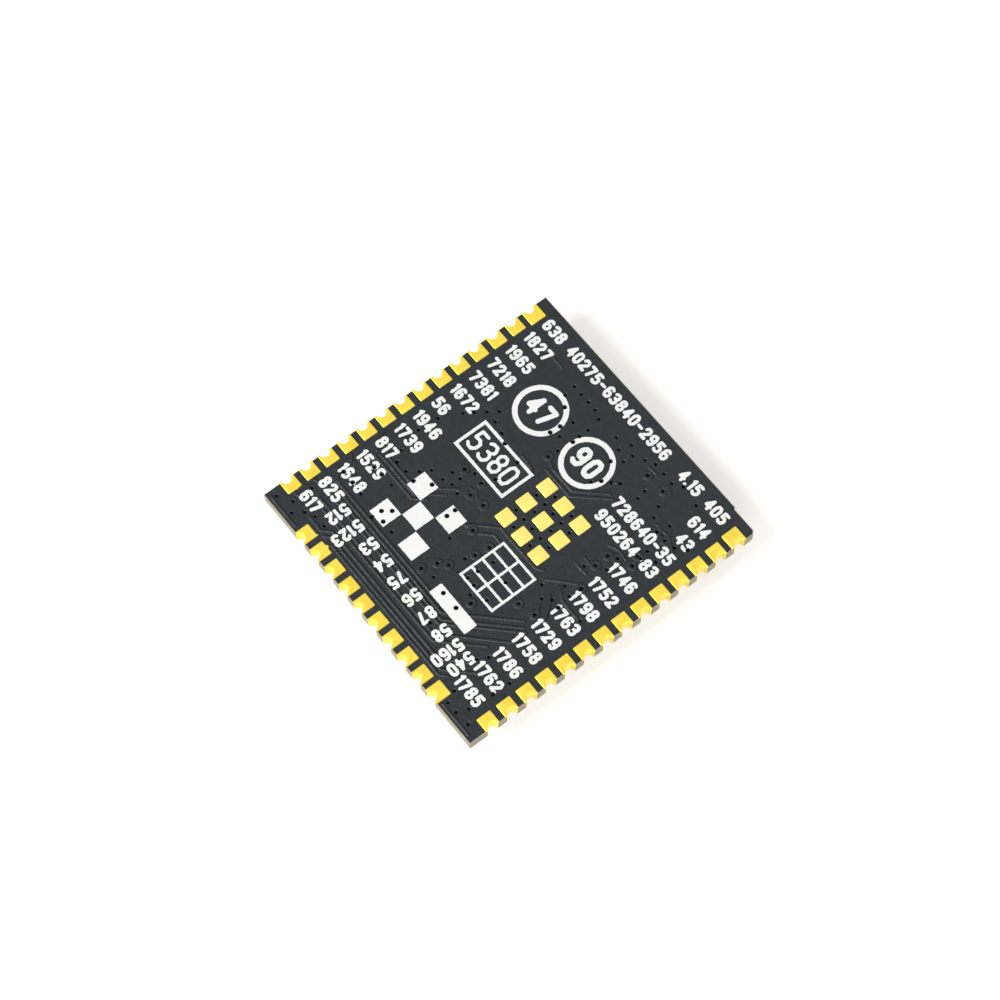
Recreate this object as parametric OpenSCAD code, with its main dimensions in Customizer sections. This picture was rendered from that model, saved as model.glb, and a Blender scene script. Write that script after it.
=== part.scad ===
// Radio circuit module: a castellated board whose part side carries a shield can,
// an antenna socket and the parts inside the can. It lies on the can's flat top with
// its solder pads up. Origin: centre of the can's resting face. X runs across the two
// pad columns, Y from the end pad row to the bare edge, Z up out of the pad side.

/* [Board] */
// Width of the board, across the two pad columns
board_w = 18; // [17.6:0.1:18.6]
// Length of the board, from the end pad row to the bare edge
board_l = 19.2; // [19:0.1:20]
// Thickness of the glass-epoxy core
core_t = 0.72; // [0.5:0.02:1.2]
// Thickness of the plated copper on both faces and in the notches
plate_t = 0.05; // [0.04:0.005:0.06]
// Thickness of the solder mask on each face
mask_t = 0.03; // [0.02:0.005:0.035]
// Distance from the cut edge to the solder mask
mask_back = 0.04; // [0.02:0.01:0.1]
// Gap between a land and its opening in the mask
mask_gap = 0.01; // [0.005:0.005:0.03]
// Depth of the step left where the board was parted from its panel
step_d = 0.1; // [0.05:0.01:0.2]
// Length of that step along the bare edge
step_l = 1.7; // [1:0.1:3]
// Cut across the corner at the end of the step
corner_cut = 0.15; // [0.05:0.05:0.3]

/* [Castellated pads] */
// Distance between neighbouring pads
pitch = 1.27; // [1.2:0.01:1.3]
// Pads in each side column
side_count = 14; // [8:1:14]
// Pads in the end row
end_count = 10; // [4:1:10]
// Distance from the end row's edge to the first side pad
first_pad = 1.5; // [1.4:0.05:1.6]
// Width of a pad along the board's edge
pad_w = 0.9; // [0.8:0.05:1]
// Depth of a pad from the board's edge
pad_l = 0.84; // [0.7:0.02:0.9]
// Width of the three ground pads at the ends of the rows
big_pad_w = 1; // [0.9:0.05:1.1]
// Depth of those ground pads
big_pad_l = 0.94; // [0.8:0.02:1]
// Depth of a pad's land on the part side
back_pad_l = 0.6; // [0.5:0.05:0.7]
// Finished radius of the plated half-round notch
notch_r = 0.3; // [0.25:0.01:0.34]

/* [Ground pads and vias] */
// Ground pads across and along
ground_count = 3; // [2:1:3]
// Side of a ground pad
ground_pad = 0.9; // [0.7:0.05:1]
// Corner radius of a ground pad
ground_r = 0.08; // [0.04:0.01:0.2]
// Distance between ground pads
ground_pitch = 1.4; // [1.35:0.05:1.6]
// Place of the middle ground pad across the board
ground_x = 1.5; // [1.2:0.1:1.8]
// Place of the middle ground pad along the board
ground_y = 1.1; // [0.8:0.1:1.4]
// Drilled radius of a thermal via
via_drill_r = 0.14; // [0.1:0.01:0.16]
// Plating in a via's barrel
via_plate = 0.03; // [0.02:0.005:0.05]

/* [Printed legend] */
// Thickness of the printed ink
ink_t = 0.02; // [0.01:0.005:0.03]
// Outer radius of a printed ring
ring_r = 1.55; // [1.2:0.05:1.6]
// Line width of a printed ring
ring_line = 0.3; // [0.2:0.05:0.4]
// Height of the rings' centres on the board
ring_y = 5.06; // [4.9:0.02:5.1]
// First ring's centre across the board
ring_x = -3.7; // [-4:0.1:-3.5]
// Distance between the two rings
ring_pitch = 4; // [3.6:0.1:4.4]
// Width of the printed code frame
frame_w = 4.2; // [3.6:0.1:4.4]
// Height of the code frame
frame_h = 2.2; // [1.8:0.1:2.4]
// Line width of the code frame
frame_line = 0.18; // [0.12:0.02:0.3]
// Centre of the code frame across the board
frame_x = -3; // [-3.2:0.1:-2.9]
// Centre of the code frame along the board
frame_y = 1.3; // [1.2:0.1:1.6]
// Width of the solid bar
bar_w = 3.05; // [2.4:0.05:3.4]
// Height of the solid bar
bar_h = 0.82; // [0.6:0.02:0.9]
// Centre of the bar across the board
bar_x = 2.52; // [2:0.02:3]
// Centre of the bar along the board
bar_y = -5.7; // [-5.8:0.1:-5.5]
// Side of one printed check square
check_side = 1.2; // [0.8:0.1:1.3]
// Distance between check squares
check_pitch = 1.25; // [1.25:0.05:1.4]
// Centre of the check pattern across the board
check_x = -2.85; // [-3.2:0.05:-2.6]
// Centre of the check pattern along the board
check_y = -3.9; // [-4.1:0.1:-3.7]
// Width of the ruled table
table_w = 2.8; // [2.4:0.1:3.2]
// Height of the ruled table
table_h = 3; // [2.4:0.1:3.2]
// Line width of the ruled table
table_line = 0.14; // [0.1:0.02:0.2]
// Rows in the ruled table
table_rows = 4; // [2:1:5]
// Centre of the table across the board
table_x = 2.55; // [2.3:0.05:2.8]
// Centre of the table along the board
table_y = -2.75; // [-2.9:0.05:-2.7]

/* [Shield can] */
// Height of the can
can_h = 2.35; // [2.2:0.05:2.6]
// Thickness of the can's sheet
can_t = 0.2; // [0.1:0.01:0.25]
// Margin between the can and each side edge of the board
can_side = 1.1; // [1.05:0.05:1.3]
// Margin between the can and the end row's edge
can_end = 1.05; // [1:0.05:1.2]
// Margin between the can and the bare edge
can_bare = 0.55; // [0.5:0.05:0.7]
// Radius of the can's upright corners
can_r = 0.8; // [0.6:0.05:1]
// Radius where the can's top turns into its walls
can_edge_r = 0.35; // [0.3:0.05:0.5]
// Length of the notch for the antenna socket, across the board
notch_w = 5.05; // [4.6:0.05:5.4]
// Depth of that notch, along the board
notch_d = 2.46; // [2.4:0.02:2.6]
// Solder film under each part and under the can
solder_t = 0.03; // [0.02:0.005:0.05]
// Width of the land outside the can's wall
land_out = 0.1; // [0.08:0.01:0.12]
// Width of the land inside the can's wall
land_in = 0.1; // [0.05:0.05:0.2]
// Height of the solder bead on the can's wall
bead_h = 0.2; // [0.1:0.05:0.3]
// Width of that bead on the land
bead_w = 0.08; // [0.05:0.01:0.08]

/* [Antenna socket] */
// Side of the moulded base
socket_base = 2.6; // [2.4:0.05:2.7]
// Height of the moulded base
socket_base_h = 0.35; // [0.3:0.01:0.4]
// Outer radius of the round shell
socket_r = 1; // [0.95:0.01:1.05]
// Thickness of the shell's sheet
socket_t = 0.16; // [0.15:0.01:0.2]
// Height of the socket over its land
socket_h = 1.25; // [1.1:0.05:1.4]
// Reach of the shell's feet and of the contact's tail from the centre
socket_reach = 1.5; // [1.4:0.02:1.55]
// Width of a ground foot
socket_foot_w = 1.6; // [1.2:0.1:2]
// Radius of the centre contact
contact_r = 0.24; // [0.18:0.02:0.3]
// Width of the contact's tail
contact_tail_w = 0.5; // [0.4:0.05:0.6]
// Gap between the can's wall and the contact's tail
socket_gap = 0.16; // [0.14:0.02:0.2]

/* [Radio chip] */
// Side of the square package
chip_w = 5; // [4.8:0.1:5.2]
// Height of the package
chip_h = 0.85; // [0.7:0.05:1]
// Leads along each side
chip_leads = 12; // [8:1:12]
// Distance between leads
chip_pitch = 0.35; // [0.3:0.01:0.36]
// Width of a lead
lead_w = 0.18; // [0.14:0.02:0.22]
// Length of a lead under the package
lead_l = 0.4; // [0.3:0.05:0.5]
// Thickness of the leadframe
leadframe_t = 0.2; // [0.15:0.01:0.25]
// Side of the middle pad
chip_pad = 3.6; // [3:0.1:3.7]

/* [Memory chip] */
// Width of the body between its lead rows
memory_w = 3.9; // [3.7:0.05:4]
// Length of the body
memory_l = 4.9; // [4.8:0.05:5.1]
// Height of the top of the body
memory_h = 1.6; // [1.4:0.05:1.7]
// Gap under the body
memory_lift = 0.12; // [0.08:0.02:0.2]
// Width over the leads
memory_span = 6; // [5.9:0.05:6.2]
// Leads in each row
memory_leads = 4; // [3:1:4]
// Distance between leads
memory_pitch = 1.27; // [1.2:0.01:1.3]
// Width of a lead
memory_lead_w = 0.42; // [0.35:0.01:0.5]
// Thickness of a lead
memory_lead_t = 0.2; // [0.15:0.01:0.22]
// Length of a lead's foot
memory_foot = 0.6; // [0.5:0.05:0.65]
// Gap between the leads and the can's walls
memory_gap = 0.8; // [0.6:0.05:0.9]

/* [Crystal] */
// Width of the ceramic base
crystal_w = 3.2; // [2.8:0.1:3.3]
// Length of the ceramic base
crystal_l = 2.5; // [2.2:0.1:2.6]
// Height of the ceramic base
crystal_base_h = 0.5; // [0.4:0.05:0.6]
// Height of the metal lid
crystal_lid_h = 0.2; // [0.15:0.05:0.3]
// Ledge of ceramic round the lid
crystal_ledge = 0.18; // [0.1:0.02:0.25]

/* [Chip components] */
// Length of a small capacitor or resistor
chipc_l = 1; // [0.9:0.05:1.1]
// Width of a small capacitor or resistor
chipc_w = 0.5; // [0.45:0.05:0.55]
// Height of a capacitor
cap_h = 0.5; // [0.4:0.05:0.6]
// Height of a resistor
res_h = 0.35; // [0.3:0.05:0.4]
// Length of an inductor
ind_l = 1.6; // [1.5:0.05:1.7]
// Width of an inductor
ind_w = 0.8; // [0.7:0.05:0.9]
// Height of an inductor
ind_h = 0.8; // [0.7:0.05:0.9]
// Length of a metal end cap
end_l = 0.22; // [0.15:0.01:0.25]
// Thickness of a metal end cap
end_t = 0.02; // [0.01:0.005:0.03]
// Clear space between one part and the next
part_gap = 0.5; // [0.45:0.05:0.6]
// Distance between components in a row
part_pitch = 0.9; // [0.85:0.05:1]
// Distance between inductors
ind_pitch = 1.5; // [1.4:0.05:1.6]
// Length of solder standing beyond an end cap
toe = 0.1; // [0.05:0.01:0.14]

/* [Hidden] */
$fn = 48;

// Finishes
gold = "#e9c33c";
mask_black = "#1d1f23";
glass_epoxy = "#a19d8c";
ink_white = "#f4f4f1";
can_silver = "#b9b7ae";
solder_grey = "#a9abad";
mould_black = "#232323";
lcp_cream = "#e6e0cf";

// Heights, from the can's resting face up
eps = 0.01;
z_land = can_h + solder_t;
z_core = z_land + plate_t;
z_top = z_core + core_t;

// The can: full-width block and the narrower one beside the notch
can_w = board_w - 2 * can_side;
can_y0 = -board_l / 2 + can_end;
can_y1 = board_l / 2 - can_bare;
notch_x = can_w / 2 - notch_w;
notch_y = can_y1 - notch_d;

drill_r = notch_r + plate_t;

// Places of the parts inside the can
chip_x = ground_x;
chip_y = ground_y;
memory_x = -can_w / 2 + can_t + memory_gap + memory_span / 2;
memory_y = can_y0 + can_t + memory_gap + memory_l / 2;
crystal_x = chip_x - chip_w / 2 - part_gap - toe - crystal_w / 2;
crystal_y = chip_y;
socket_x = notch_x + notch_w / 2;
socket_y = notch_y + socket_gap + socket_reach;
cap_rise = chip_w / 2 + part_gap + chipc_l / 2;
res_y = chip_y - cap_rise - chipc_l - part_gap;
ind_y = res_y - chipc_l / 2 - part_gap - ind_l / 2;
row_x = memory_x + memory_span / 2 + part_gap + chipc_w / 2;

// Each place is [x, y, turn]
cap_places = concat(
    [for (i = [-2:2]) [chip_x + i * part_pitch, chip_y + cap_rise, 90]],
    [for (i = [-2:2]) [chip_x + cap_rise, chip_y + i * part_pitch, 0]],
    [for (i = [-1:2]) [chip_x + (i - 0.5) * part_pitch, chip_y - cap_rise, 90]],
    [for (i = [-1, 1]) [crystal_x - crystal_w / 2 - part_gap - toe - chipc_l / 2,
                        crystal_y + i * part_pitch, 0]],
    [for (i = [-1:1]) [socket_x + i * part_pitch,
                       notch_y - can_t - land_in - part_gap - chipc_l / 2, 90]]
);
res_places = [for (i = [0:4]) [row_x + i * part_pitch, res_y, 90]];
ind_places = [for (i = [0:2]) [row_x + ind_w / 2 + i * ind_pitch, ind_y, 90]];

// ---- plan shapes ----

// The board's outline, drawn in by inset, with the parting step at one corner
module board_plan(inset = 0) {
    x = board_w / 2 - inset;
    y = board_l / 2 - inset;
    xs = board_w / 2 - step_l;
    polygon([
        [-x, -y], [x, -y], [x, y - step_d - corner_cut], [x - corner_cut, y - step_d],
        [xs, y - step_d], [xs - step_d, y], [-x, y]
    ]);
}

module rounded_plan(w, l, r) {
    square([w - 2 * r, l], center = true);
    square([w, l - 2 * r], center = true);
    for (x = [-1, 1], y = [-1, 1])
        translate([x * (w / 2 - r), y * (l / 2 - r)]) circle(r = r);
}

// ---- the three pad rows: children stand at the board's edge, +x pointing off the board ----

module right_places()
    for (i = [0:side_count - 1])
        let ($big = i == side_count - 1)
            translate([board_w / 2, -board_l / 2 + first_pad + i * pitch, 0]) children();

module left_places()
    for (i = [0:side_count - 1])
        let ($big = i == side_count - 1)
            translate([-board_w / 2, -board_l / 2 + first_pad + i * pitch, 0])
                rotate([0, 0, 180]) children();

module end_places()
    for (i = [0:end_count - 1])
        let ($big = i == end_count - 1)
            translate([(i - (end_count - 1) / 2) * pitch, -board_l / 2, 0])
                rotate([0, 0, -90]) children();

module pad_places() {
    right_places() children();
    left_places() children();
    end_places() children();
}

function this_w() = $big ? big_pad_w : pad_w;
function this_l() = $big ? big_pad_l : pad_l;

// Land of a castellated pad; grown all round, it is the pad's opening in the mask
module pad_plan(w, l, grow = 0)
    translate([-l - grow, -w / 2 - grow]) square([l + 2 * grow, w + 2 * grow]);

// Wall of the plated notch, its lips rolled over onto both lands
module barrel_section() {
    translate([notch_r, 0]) square([plate_t, core_t]);
    intersection() {
        translate([drill_r, 0]) circle(r = plate_t);
        translate([notch_r, -plate_t]) square(plate_t);
    }
    intersection() {
        translate([drill_r, core_t]) circle(r = plate_t);
        translate([notch_r, core_t]) square(plate_t);
    }
}

// One plated pad: land above, half-round barrel, land below
module castellation() {
    translate([0, 0, z_top]) linear_extrude(plate_t) difference() {
        pad_plan(this_w(), this_l());
        circle(r = drill_r);
    }
    translate([0, 0, z_land]) linear_extrude(plate_t) difference() {
        pad_plan(this_w(), back_pad_l);
        circle(r = drill_r);
    }
    translate([0, 0, z_core]) rotate([0, 0, 90]) rotate_extrude(angle = 180) barrel_section();
}

// ---- ground pads and thermal vias share one half-pitch grid ----

module ground_plan(grow = 0)
    for (i = [0:ground_count - 1], j = [0:ground_count - 1])
        translate([ground_x + (i - (ground_count - 1) / 2) * ground_pitch,
                   ground_y + (j - (ground_count - 1) / 2) * ground_pitch])
            rounded_plan(ground_pad + 2 * grow, ground_pad + 2 * grow, ground_r + grow);

module via_places()
    for (i = [0:2 * ground_count - 2], j = [0:2 * ground_count - 2])
        if (i % 2 == 1 || j % 2 == 1)
            translate([ground_x + (i - ground_count + 1) * ground_pitch / 2,
                       ground_y + (j - ground_count + 1) * ground_pitch / 2, 0]) children();

// ---- the board ----

module board_core() color(glass_epoxy) difference() {
    translate([0, 0, z_core]) linear_extrude(core_t) board_plan();
    pad_places() translate([0, 0, z_core - eps]) cylinder(r = drill_r, h = core_t + 2 * eps);
    via_places() translate([0, 0, z_core - eps])
        cylinder(r = via_drill_r, h = core_t + 2 * eps);
}

module pad_side_mask() color(mask_black)
    translate([0, 0, z_top]) linear_extrude(mask_t) difference() {
        board_plan(mask_back);
        pad_places() pad_plan(this_w(), this_l(), mask_gap);
        ground_plan(mask_gap);
    }

module part_side_mask() color(mask_black)
    translate([0, 0, z_core - mask_t]) linear_extrude(mask_t) difference() {
        board_plan(mask_back);
        pad_places() pad_plan(this_w(), back_pad_l, mask_gap);
        difference() {
            can_plan(land_out + mask_gap);
            can_plan(-can_t - land_in - mask_gap);
        }
        part_plan(mask_gap);
    }

module right_pads() color(gold) right_places() castellation();
module left_pads() color(gold) left_places() castellation();
module end_pads() color(gold) end_places() castellation();

module ground_pads() color(gold)
    translate([0, 0, z_top]) linear_extrude(plate_t) ground_plan();

module thermal_vias() color("#b87a3d") via_places() translate([0, 0, z_core])
    linear_extrude(core_t) difference() {
        circle(r = via_drill_r);
        circle(r = via_drill_r - via_plate);
    }

// ---- printed legend: the simple shapes, each a film of ink on the mask ----

module legend_ink() color(ink_white)
    translate([0, 0, z_top + mask_t]) linear_extrude(ink_t) {
        for (i = [0, 1]) translate([ring_x + i * ring_pitch, ring_y]) difference() {
            circle(r = ring_r);
            circle(r = ring_r - ring_line);
        }
        translate([frame_x, frame_y]) difference() {
            square([frame_w, frame_h], center = true);
            square([frame_w - 2 * frame_line, frame_h - 2 * frame_line], center = true);
        }
        translate([bar_x, bar_y]) rounded_plan(bar_w, bar_h, frame_line / 2);
        translate([check_x, check_y])
            for (i = [-1:1], j = [-1:1])
                if ((i + j) % 2 == 0)
                    translate([i * check_pitch, j * check_pitch])
                        square(check_side, center = true);
        translate([table_x, table_y]) difference() {
            square([table_w, table_h], center = true);
            for (i = [0, 1], j = [0:table_rows - 1])
                translate([-table_w / 2 + table_line + i * table_cell_w(),
                           -table_h / 2 + table_line + j * table_cell_h()])
                    square([table_cell_w() - table_line, table_cell_h() - table_line]);
        }
    }

function table_cell_w() = (table_w - table_line) / 2;
function table_cell_h() = (table_h - table_line) / table_rows;

// ---- shield can ----

// A straight or turned edge all round a rectangle: the child is its upright section,
// drawn outward from the centre of the corner radius
module edged_block(w, l, r, h) {
    x = w / 2 - r;
    y = l / 2 - r;
    translate([-x, -y, 0]) cube([2 * x, 2 * y, h]);
    for (turn = [0:3]) {
        a = turn % 2 == 0 ? x : y;
        b = turn % 2 == 0 ? y : x;
        rotate([0, 0, 90 * turn]) {
            translate([a, b, 0]) rotate_extrude(angle = 90) children();
            translate([a, b, 0]) rotate([90, 0, 0]) linear_extrude(2 * b) children();
        }
    }
}

// Section whose lower outer corner is turned to a radius
module turned_section(r, h, edge_r) {
    square([r - edge_r, h]);
    translate([0, edge_r]) square([r, h - edge_r]);
    translate([r - edge_r, edge_r]) circle(r = edge_r);
}

// Section of a block with a bead of solder flaring out at its upper end
module bead_section(r, h) {
    polygon([[0, 0], [r, 0], [r + bead_w, h], [0, h]]);
}

// The two overlapping rectangles of the can, drawn in by inset
module can_rectangles(inset = 0) {
    w = can_w - 2 * inset;
    translate([0, (can_y0 + notch_y) / 2, 0])
        let ($w = w, $l = notch_y - can_y0 - 2 * inset) children();
    translate([-notch_w / 2, (can_y0 + can_y1) / 2, 0])
        let ($w = w - notch_w, $l = can_y1 - can_y0 - 2 * inset) children();
}

module can_plan(grow = 0)
    can_rectangles(-grow) rounded_plan($w, $l, can_r + grow);

module can_block(inset, h)
    can_rectangles(inset) edged_block($w, $l, can_r - inset, h)
        turned_section(can_r - inset, h, can_edge_r - inset);

module shield_can() color(can_silver) difference() {
    can_block(0, can_h);
    translate([0, 0, can_t]) can_block(can_t, can_h);
}

module can_land() color(gold) translate([0, 0, z_land]) linear_extrude(plate_t) difference() {
    can_plan(land_out);
    can_plan(-can_t - land_in);
}

module can_solder() color(solder_grey) {
    difference() {
        translate([0, 0, can_h - bead_h]) can_rectangles()
            edged_block($w, $l, can_r, bead_h) bead_section(can_r, bead_h);
        translate([0, 0, can_h - bead_h - eps]) linear_extrude(bead_h + 2 * eps) can_plan();
    }
    translate([0, 0, can_h]) linear_extrude(solder_t) difference() {
        can_plan(bead_w);
        can_plan(-can_t);
    }
}

// ---- parts on the part side: children are drawn standing up from their lands ----

module mounted(place)
    translate([place[0], place[1], z_land]) mirror([0, 0, 1])
        rotate([0, 0, place[2]]) children();

module planned(place)
    translate([place[0], place[1]]) rotate([0, 0, place[2]]) children();

// Lands of one two-ended part
module pair_plan(l, w, grow = 0)
    for (side = [-1, 1])
        translate([side * (l / 2 + (toe - end_l) / 2), 0])
            square([end_l + toe + 2 * grow, w + 2 * grow], center = true);

module radio_plan(grow = 0) {
    square(chip_pad + 2 * grow, center = true);
    for (side = [0:3], i = [0:chip_leads - 1])
        rotate([0, 0, 90 * side])
            translate([chip_w / 2 - lead_l / 2, (i - (chip_leads - 1) / 2) * chip_pitch])
                square([lead_l + 2 * grow, lead_w + 2 * grow], center = true);
}

module memory_feet()
    for (side = [0, 180], i = [0:memory_leads - 1])
        rotate([0, 0, side])
            translate([0, (i - (memory_leads - 1) / 2) * memory_pitch, 0]) children();

module memory_plan(grow = 0)
    memory_feet() translate([memory_span / 2 - memory_foot / 2 + toe / 2, 0])
        square([memory_foot + toe + 2 * grow, memory_lead_w + 2 * grow], center = true);

crystal_pad_w = 0.9;
crystal_pad_l = 0.7;
module crystal_plan(grow = 0)
    for (x = [-1, 1], y = [-1, 1])
        translate([x * (crystal_w / 2 - crystal_pad_w / 2 + toe / 2),
                   y * (crystal_l / 2 - crystal_pad_l / 2)])
            square([crystal_pad_w + toe + 2 * grow, crystal_pad_l + 2 * grow], center = true);

foot_l = socket_reach - socket_base / 2 + 0.25;
module socket_plan(grow = 0) {
    for (side = [-1, 1])
        translate([side * (socket_reach - foot_l / 2), 0])
            square([foot_l + 2 * grow, socket_foot_w + 2 * grow], center = true);
    translate([0, -socket_reach + foot_l / 2])
        square([contact_tail_w + 2 * grow, foot_l + 2 * grow], center = true);
}

// Every land on the part side apart from the can's frame and the castellated pads
module part_plan(grow = 0) {
    for (place = concat(cap_places, res_places)) planned(place) pair_plan(chipc_l, chipc_w, grow);
    for (place = ind_places) planned(place) pair_plan(ind_l, ind_w, grow);
    planned([chip_x, chip_y, 0]) radio_plan(grow);
    planned([memory_x, memory_y, 0]) memory_plan(grow);
    planned([crystal_x, crystal_y, 0]) crystal_plan(grow);
    planned([socket_x, socket_y, 0]) socket_plan(grow);
}

module part_lands() color(gold)
    translate([0, 0, z_land]) linear_extrude(plate_t) part_plan();

// A film of solder on every land, and a heel of it against each end cap
module solder_heel(l, w, h)
    for (side = [0, 180])
        rotate([0, 0, side]) translate([l / 2, w / 2, solder_t]) rotate([90, 0, 0])
            linear_extrude(w) polygon([[0, 0], [toe, 0], [0, h / 2]]);

module part_solder() color(solder_grey) {
    translate([0, 0, can_h]) linear_extrude(solder_t) part_plan();
    for (place = cap_places) mounted(place) solder_heel(chipc_l, chipc_w, cap_h);
    for (place = res_places) mounted(place) solder_heel(chipc_l, chipc_w, res_h);
    for (place = ind_places) mounted(place) solder_heel(ind_l, ind_w, ind_h);
}

// ---- two-ended components ----

module component_body(l, w, h)
    translate([0, 0, solder_t + h / 2])
        cube([l - 2 * end_t, w - 2 * end_t, h - 2 * end_t], center = true);

module component_ends(l, w, h)
    for (side = [-1, 1]) difference() {
        translate([side * (l - end_l) / 2, 0, solder_t + h / 2])
            cube([end_l, w, h], center = true);
        component_body(l, w, h);
    }

module capacitor_bodies() color("#a5825a")
    for (place = cap_places) mounted(place) component_body(chipc_l, chipc_w, cap_h);
module capacitor_ends() color(solder_grey)
    for (place = cap_places) mounted(place) component_ends(chipc_l, chipc_w, cap_h);
module resistor_bodies() color("#33363b")
    for (place = res_places) mounted(place) component_body(chipc_l, chipc_w, res_h);
module resistor_ends() color(solder_grey)
    for (place = res_places) mounted(place) component_ends(chipc_l, chipc_w, res_h);
module inductor_bodies() color("#5d5650")
    for (place = ind_places) mounted(place) component_body(ind_l, ind_w, ind_h);
module inductor_ends() color(solder_grey)
    for (place = ind_places) mounted(place) component_ends(ind_l, ind_w, ind_h);

// ---- radio chip: leads and middle pad lie flush in the underside of the moulding ----

module radio_chip() color(mould_black) mounted([chip_x, chip_y, 0]) {
    translate([0, 0, solder_t]) linear_extrude(leadframe_t) difference() {
        square(chip_w, center = true);
        radio_plan();
    }
    difference() {
        translate([0, 0, solder_t + leadframe_t]) linear_extrude(chip_h - leadframe_t)
            square(chip_w, center = true);
        translate([-chip_w / 2 + 2 * lead_l, chip_w / 2 - 2 * lead_l, solder_t + chip_h - 0.05])
            cylinder(r = 0.25, h = 1);
    }
}

module radio_chip_leads() color(solder_grey) mounted([chip_x, chip_y, 0])
    translate([0, 0, solder_t]) linear_extrude(leadframe_t) radio_plan();

// ---- memory chip: drafted moulding on two rows of gull-wing leads ----

memory_draft = 0.12;
memory_mid = memory_lift + (memory_h - memory_lift) / 2;

module memory_chip() color(mould_black) mounted([memory_x, memory_y, 0])
    difference() {
        translate([0, memory_l / 2, solder_t]) rotate([90, 0, 0]) linear_extrude(memory_l)
            polygon([
                [-memory_w / 2 + memory_draft, memory_lift],
                [memory_w / 2 - memory_draft, memory_lift],
                [memory_w / 2, memory_mid - memory_lead_t / 2],
                [memory_w / 2, memory_mid + memory_lead_t / 2],
                [memory_w / 2 - memory_draft, memory_h], [-memory_w / 2 + memory_draft, memory_h],
                [-memory_w / 2, memory_mid + memory_lead_t / 2],
                [-memory_w / 2, memory_mid - memory_lead_t / 2]
            ]);
        translate([-memory_w / 2 + 0.8, memory_l / 2 - 0.8, solder_t + memory_h - 0.06])
            cylinder(r = 0.3, h = 1);
    }

module memory_chip_leads() color(solder_grey) mounted([memory_x, memory_y, 0])
    memory_feet() translate([0, memory_lead_w / 2, solder_t]) rotate([90, 0, 0])
        linear_extrude(memory_lead_w) gull_wing();

// Bent strip: shoulder out of the body, slanting leg, flat foot
module gull_wing() {
    t = memory_lead_t;
    out = memory_span / 2;
    knee = memory_w / 2 + (out - memory_foot - memory_w / 2) / 2;
    up = memory_mid + t / 2;
    polygon([
        [memory_w / 2, up], [knee, up], [out - memory_foot + t, t], [out, t], [out, 0],
        [out - memory_foot, 0], [knee - t, up - t], [memory_w / 2, up - t]
    ]);
}

// ---- crystal: ceramic tub closed by a metal lid ----

module crystal_base() color("#8d8578") mounted([crystal_x, crystal_y, 0])
    translate([0, 0, solder_t]) linear_extrude(crystal_base_h) difference() {
        square([crystal_w, crystal_l], center = true);
        for (x = [-1, 1], y = [-1, 1])
            translate([x * crystal_w / 2, y * crystal_l / 2]) circle(r = crystal_ledge);
    }

module crystal_lid() color("#c9c6bb") mounted([crystal_x, crystal_y, 0])
    translate([0, 0, solder_t + crystal_base_h]) linear_extrude(crystal_lid_h)
        rounded_plan(crystal_w - 2 * crystal_ledge, crystal_l - 2 * crystal_ledge, 0.25);

// ---- antenna socket: the shell and the contact are held in the moulded base ----

// The tube's foot has eight flats pressed on it, which key it in the moulding
module seat_plan()
    difference() {
        circle(r = socket_r - 0.01, $fn = 8);
        circle(r = socket_r - socket_t);
    }

module shell_feet()
    for (side = [-1, 1])
        translate([side * (socket_reach + socket_r - socket_t) / 2, 0])
            square([socket_reach - socket_r + socket_t, socket_foot_w], center = true);

module contact_tail()
    translate([-contact_tail_w / 2, -socket_reach]) square([contact_tail_w, socket_reach]);

module socket_base() color(lcp_cream) mounted([socket_x, socket_y, 0])
    translate([0, 0, solder_t]) difference() {
        linear_extrude(socket_base_h) rounded_plan(socket_base, socket_base, 0.15);
        translate([0, 0, socket_t]) linear_extrude(socket_base_h) {
            seat_plan();
            circle(r = contact_r);
        }
        translate([0, 0, -eps]) linear_extrude(socket_t + eps) {
            shell_feet();
            contact_tail();
            circle(r = contact_r);
        }
    }

// Rolled tube with a round mouth, on two flat feet
module socket_shell() color(gold) mounted([socket_x, socket_y, 0])
    translate([0, 0, solder_t]) {
        rotate_extrude() {
            translate([socket_r - socket_t, socket_base_h])
                square([socket_t, socket_h - socket_base_h - socket_t / 2]);
            translate([socket_r - socket_t / 2, socket_h - socket_t / 2])
                circle(r = socket_t / 2);
        }
        translate([0, 0, socket_t]) linear_extrude(socket_base_h - socket_t) seat_plan();
        linear_extrude(socket_t) shell_feet();
    }

module socket_contact() color(gold) mounted([socket_x, socket_y, 0])
    translate([0, 0, solder_t]) {
        linear_extrude(socket_t) contact_tail();
        rotate_extrude() {
            square([contact_r, socket_h - 0.3 - contact_r / 2]);
            translate([0, socket_h - 0.3 - contact_r / 2]) square([contact_r / 2, contact_r / 2]);
            translate([contact_r / 2, socket_h - 0.3 - contact_r / 2]) intersection() {
                circle(r = contact_r / 2);
                square(contact_r / 2);
            }
        }
    }

board_core();
pad_side_mask();
part_side_mask();
right_pads();
left_pads();
end_pads();
ground_pads();
thermal_vias();
legend_ink();
can_land();
part_lands();
shield_can();
can_solder();
socket_base();
socket_shell();
socket_contact();
radio_chip();
radio_chip_leads();
memory_chip();
memory_chip_leads();
crystal_base();
crystal_lid();
capacitor_bodies();
capacitor_ends();
resistor_bodies();
resistor_ends();
inductor_bodies();
inductor_ends();
part_solder();
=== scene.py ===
import math

import bmesh
import bpy
import numpy as np
from mathutils import Matrix, Vector, noise
from mathutils.geometry import delaunay_2d_cdt


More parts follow.
